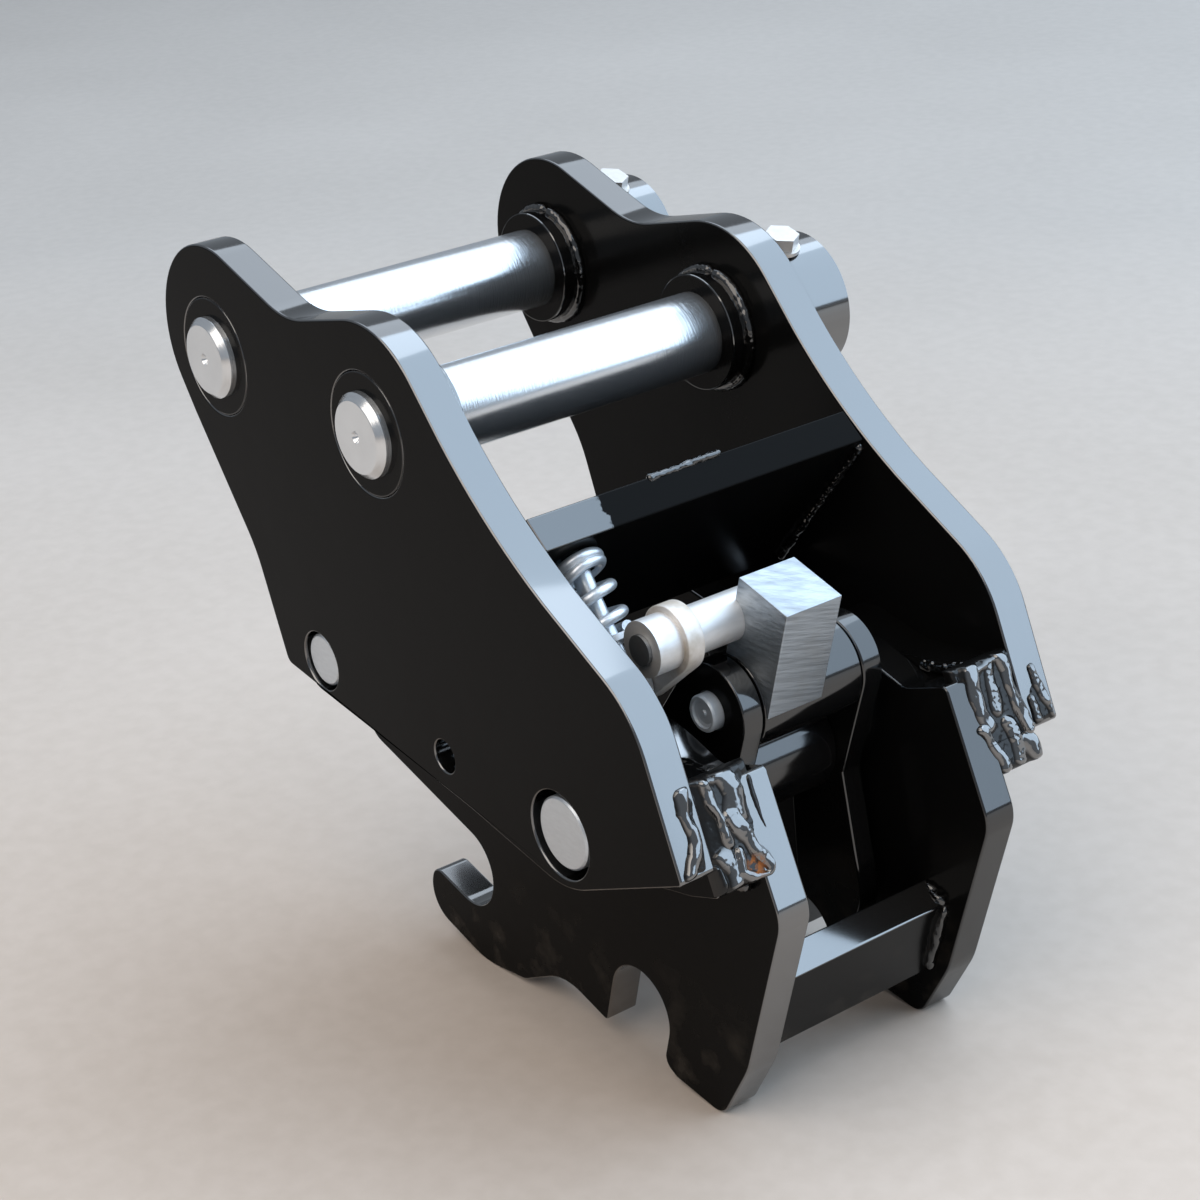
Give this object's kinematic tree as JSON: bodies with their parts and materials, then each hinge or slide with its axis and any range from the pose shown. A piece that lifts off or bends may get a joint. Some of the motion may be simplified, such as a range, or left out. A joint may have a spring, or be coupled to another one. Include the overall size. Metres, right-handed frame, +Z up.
{
  "type": "quick hitch",
  "caption": "Mechanical quick hitch for a small excavator: side plates with carrying pins, hook plates, sprung rear latch and lever block",
  "frame": {"origin": "centre of the bounding box, on the floor", "axes": "+X to the rear of the hitch, where the latch is; +Y to the far side, where the long outer bosses are; +Z up"},
  "size_m": [0.3486, 0.229, 0.3089],
  "materials": {
    "black_enamel": "glossy black enamel over welded plate",
    "ground_pin_steel": "ground and polished pin",
    "satin_pin_steel": "satin turned pin ends",
    "dark_pin_steel": "dark turned pin ends",
    "bright_steel": "bare machined and sawn steel",
    "fastener_steel": "zinc plated bolt",
    "spring_steel": "bare round wire"
  },
  "bodies": {
    "frame": {"side_plate_near": "black_enamel", "side_plate_far": "black_enamel", "hook_plate_near": "black_enamel", "hook_plate_far": "black_enamel", "spacer_near": "black_enamel", "spacer_far": "black_enamel", "tie_spacer_near": "black_enamel", "tie_spacer_far": "black_enamel", "front_cross_plate": "black_enamel", "rear_cross_plate": "black_enamel", "arm_pin": "ground_pin_steel", "link_pin": "ground_pin_steel", "arm_bush_near": "black_enamel", "link_bush_near": "black_enamel", "arm_boss_inner": "black_enamel", "link_boss_inner": "black_enamel", "arm_boss_outer": "black_enamel", "link_boss_outer": "black_enamel", "arm_pin_keeper": "fastener_steel", "link_pin_keeper": "fastener_steel", "latch_pivot_pin": "satin_pin_steel", "tie_pin": "satin_pin_steel", "spring_seat": "black_enamel"},
    "latch": {"latch_plate_near": "black_enamel", "latch_plate_far": "black_enamel", "latch_hub": "black_enamel", "ear_pin": "dark_pin_steel"},
    "lever": {"lever_hub": "black_enamel", "lever_block": "bright_steel", "cross_shaft": "bright_steel", "shaft_end_screw": "fastener_steel", "crank_arm": "black_enamel", "crank_rod_pin": "dark_pin_steel"},
    "rod": {"spring_rod": "spring_steel", "spring_cup": "spring_steel", "latch_spring": "spring_steel"}
  },
  "joints": [
    {"name": "latch_hinge", "type": "hinge", "parent": "frame", "child": "latch", "pos_m": [0.09003, -0.0145, 0.11979], "axis": [0, -1, 0], "range_deg": [0, 8], "stiffness_Nm_per_rad": 20, "springref_deg": -20.05},
    {"name": "lever_hinge", "type": "hinge", "parent": "latch", "child": "lever", "pos_m": [0.10996, -0.0145, 0.15761], "axis": [0, -1, 0], "range_deg": [-16, 0]},
    {"name": "rod_hinge", "type": "hinge", "parent": "lever", "child": "rod", "pos_m": [0.09202, -0.074, 0.17074], "axis": [0, -1, 0], "range_deg": [0, 8], "deforming": ["latch_spring"]}
  ],
  "couplings": [
    {"joint": "lever_hinge", "follows": "latch_hinge", "ratio": -1.9465},
    {"joint": "rod_hinge", "follows": "latch_hinge", "ratio": 0.9465}
  ]
}
